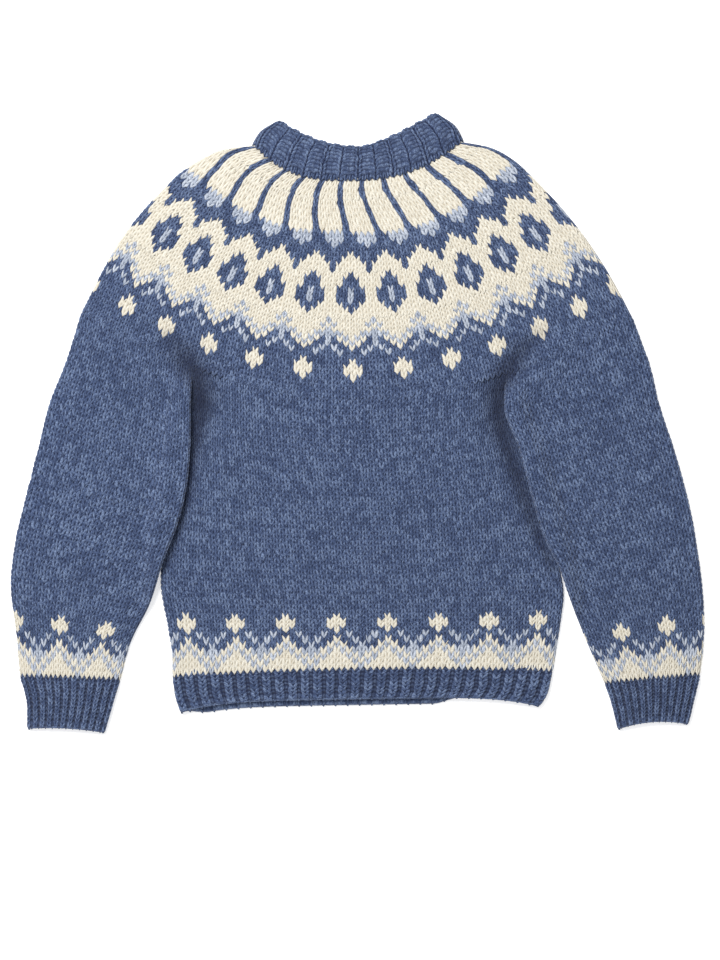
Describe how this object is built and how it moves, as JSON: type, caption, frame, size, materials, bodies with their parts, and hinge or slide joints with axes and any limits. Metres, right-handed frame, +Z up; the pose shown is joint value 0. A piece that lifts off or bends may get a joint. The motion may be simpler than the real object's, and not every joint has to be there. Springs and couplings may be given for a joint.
{
  "type": "nordic sweater",
  "caption": "Hand-knitted pullover with a round patterned yoke, long sleeves and ribbed neck, cuffs and hem, laid flat.",
  "frame": {"origin": "middle of the garment's bounding box, on the surface that it lies on", "axes": "+X to the right as the front is seen from above, across the span of the sleeves; +Y from the hem to the neck; +Z up, out of the front layer"},
  "size_m": [0.8343, 0.7416, 0.0193],
  "materials": {
    "blue_wool": "heathered denim-blue bulky wool, stocking stitch and rib, matt",
    "patterned_wool": "cream, pale blue and denim-blue bulky wool in stranded knitting, matt"
  },
  "bodies": {
    "root": {"body": "blue_wool", "hem_rib": "blue_wool", "yoke": "patterned_wool", "sleeve_left": "blue_wool", "sleeve_right": "blue_wool", "cuff_left": "blue_wool", "cuff_right": "blue_wool", "neckband": "blue_wool"}
  },
  "joints": []
}
